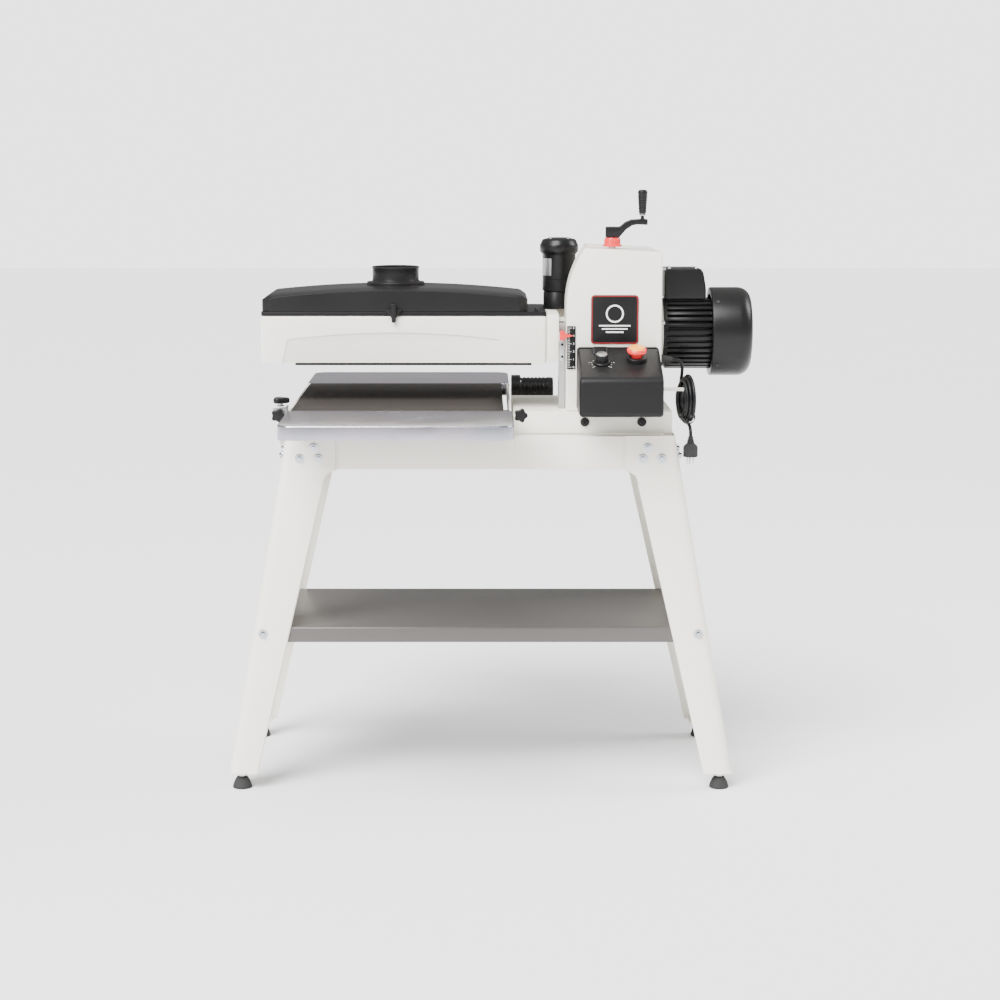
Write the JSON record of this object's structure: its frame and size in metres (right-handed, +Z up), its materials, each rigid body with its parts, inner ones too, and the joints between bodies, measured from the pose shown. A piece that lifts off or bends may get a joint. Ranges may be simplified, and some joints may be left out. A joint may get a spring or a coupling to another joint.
{
  "type": "drum sander",
  "caption": "Open-ended drum sander on a splayed steel stand, with conveyor feed, height crank, hinged dust cover and side motor",
  "frame": {"origin": "floor level under the middle of the machine's outline", "axes": "+Z up; the operator stands at -Y and feeds the work towards +Y; the motor is at +X"},
  "size_m": [1.086, 1.02, 1.229],
  "materials": {
    "white_enamel": "satin textured powder coat",
    "black_plastic": "satin moulded",
    "black_paint": "satin",
    "shelf_paint": "satin",
    "galvanised": "bright rolled",
    "steel": "machined",
    "cast_alloy": "machined casting",
    "abrasive_belt": "fine abrasive grit",
    "abrasive_wrap": "abrasive cloth",
    "rubber": "matt",
    "red_plastic": "glossy"
  },
  "bodies": {
    "stand": {"leg_front_left": "white_enamel", "leg_front_right": "white_enamel", "leg_rear_left": "white_enamel", "leg_rear_right": "white_enamel", "apron_front": "white_enamel", "apron_rear": "white_enamel", "apron_left": "white_enamel", "apron_right": "white_enamel", "machine_base": "white_enamel", "column_housing": "white_enamel", "conveyor_rail_left": "white_enamel", "conveyor_rail_right": "white_enamel", "control_box": "black_plastic", "badge_plate": "black_plastic", "depth_scale": "black_plastic", "conveyor_gearmotor": "black_paint", "stand_shelf": "shelf_paint", "infeed_table": "galvanised", "outfeed_table": "galvanised", "guide_rail": "steel", "tension_bracket": "steel", "conveyor_bed": "cast_alloy", "conveyor_belt": "abrasive_belt", "foot_front_left": "rubber", "foot_front_right": "rubber", "foot_rear_left": "rubber", "foot_rear_right": "rubber", "cord_gland": "rubber", "power_cord_lead": "rubber", "power_cord_coil": "rubber", "power_cord_tail": "rubber", "power_plug": "rubber"},
    "head": {"arm_casing": "white_enamel", "outboard_bearing": "cast_alloy", "inboard_bearing": "steel", "head_carriage": "white_enamel", "depth_pointer": "red_plastic", "motor_body": "black_paint", "motor_fan_cover": "black_paint", "capacitor_box": "black_paint", "oscillation_motor": "black_paint"},
    "spindle": {"drum_shaft": "steel", "motor_fan": "black_plastic"},
    "drum": {"drum": "cast_alloy", "abrasive_wrap": "abrasive_wrap"},
    "infeed_pressure": {"infeed_roller": "rubber"},
    "outfeed_pressure": {"outfeed_roller": "rubber"},
    "cover": {"dust_cover": "black_plastic"},
    "latch": {"cover_latch": "black_plastic"},
    "crank": {"crank_arm": "black_plastic", "depth_dial": "red_plastic", "lead_screw": "steel"},
    "grip": {"crank_grip": "black_plastic"},
    "drive": {"drive_roller": "rubber"},
    "idler": {"idler_roller": "steel"},
    "speed": {"speed_knob": "black_plastic"},
    "stop": {"stop_button": "red_plastic"},
    "switch": {"power_switch": "black_plastic"},
    "knob_left": {"tension_knob_left": "black_plastic"},
    "knob_right": {"tension_knob_right": "black_plastic"}
  },
  "joints": [
    {"name": "crank_turn", "type": "hinge", "parent": "stand", "child": "crank", "pos_m": [0.249, -0.075, 1.131], "axis": [0, 0, 1], "range_deg": [-792, 16272]},
    {"name": "grip_spin", "type": "hinge", "parent": "crank", "child": "grip", "pos_m": [0.3105, -0.075, 1.1765], "axis": [0, 0, 1], "continuous": true},
    {"name": "head_lift", "type": "slide", "parent": "stand", "child": "head", "axis": [0, 0, 1], "range_m": [-0.0717, 0.0034]},
    {"name": "spindle_spin", "type": "hinge", "parent": "head", "child": "spindle", "pos_m": [0, 0, 0.9325], "axis": [1, 0, 0], "continuous": true},
    {"name": "drum_oscillate", "type": "slide", "parent": "spindle", "child": "drum", "axis": [1, 0, 0], "range_m": [-0.006, 0.006]},
    {"name": "infeed_pressure_spin", "type": "hinge", "parent": "head", "child": "infeed_pressure", "pos_m": [0, -0.088, 0.89], "axis": [1, 0, 0], "continuous": true},
    {"name": "outfeed_pressure_spin", "type": "hinge", "parent": "head", "child": "outfeed_pressure", "pos_m": [0, 0.088, 0.89], "axis": [1, 0, 0], "continuous": true},
    {"name": "cover_open", "type": "hinge", "parent": "head", "child": "cover", "pos_m": [0, 0.1255, 0.99], "axis": [-1, 0, 0], "range_deg": [0, 85]},
    {"name": "latch_turn", "type": "hinge", "parent": "head", "child": "latch", "pos_m": [-0.2, -0.124, 0.972], "axis": [0, 1, 0], "range_deg": [0, 90]},
    {"name": "drive_spin", "type": "hinge", "parent": "stand", "child": "drive", "pos_m": [0, 0.24, 0.777], "axis": [1, 0, 0], "continuous": true},
    {"name": "idler_spin", "type": "hinge", "parent": "stand", "child": "idler", "pos_m": [0, -0.24, 0.777], "axis": [1, 0, 0], "continuous": true},
    {"name": "speed_turn", "type": "hinge", "parent": "stand", "child": "speed", "pos_m": [0.2205, -0.23301, 0.88673], "axis": [0, -0.3463, 0.9381], "range_deg": [-270, 0]},
    {"name": "stop_press", "type": "slide", "parent": "stand", "child": "stop", "axis": [0, -0.3463, 0.9381], "range_m": [-0.005, 0], "stiffness_N_per_m": 400},
    {"name": "switch_rock", "type": "hinge", "parent": "stand", "child": "switch", "pos_m": [0.2205, -0.17859, 0.90681], "axis": [1, 0, 0], "range_deg": [-8, 8]},
    {"name": "knob_left_turn", "type": "hinge", "parent": "stand", "child": "knob_left", "pos_m": [-0.4265, -0.285, 0.787], "axis": [0, 1, 0], "continuous": true},
    {"name": "knob_right_turn", "type": "hinge", "parent": "stand", "child": "knob_right", "pos_m": [0.057, -0.285, 0.787], "axis": [0, 1, 0], "continuous": true}
  ],
  "couplings": [
    {"joint": "crank_turn", "follows": "head_lift", "rad_per_m": -3957.9},
    {"joint": "idler_spin", "follows": "drive_spin", "ratio": 1}
  ]
}
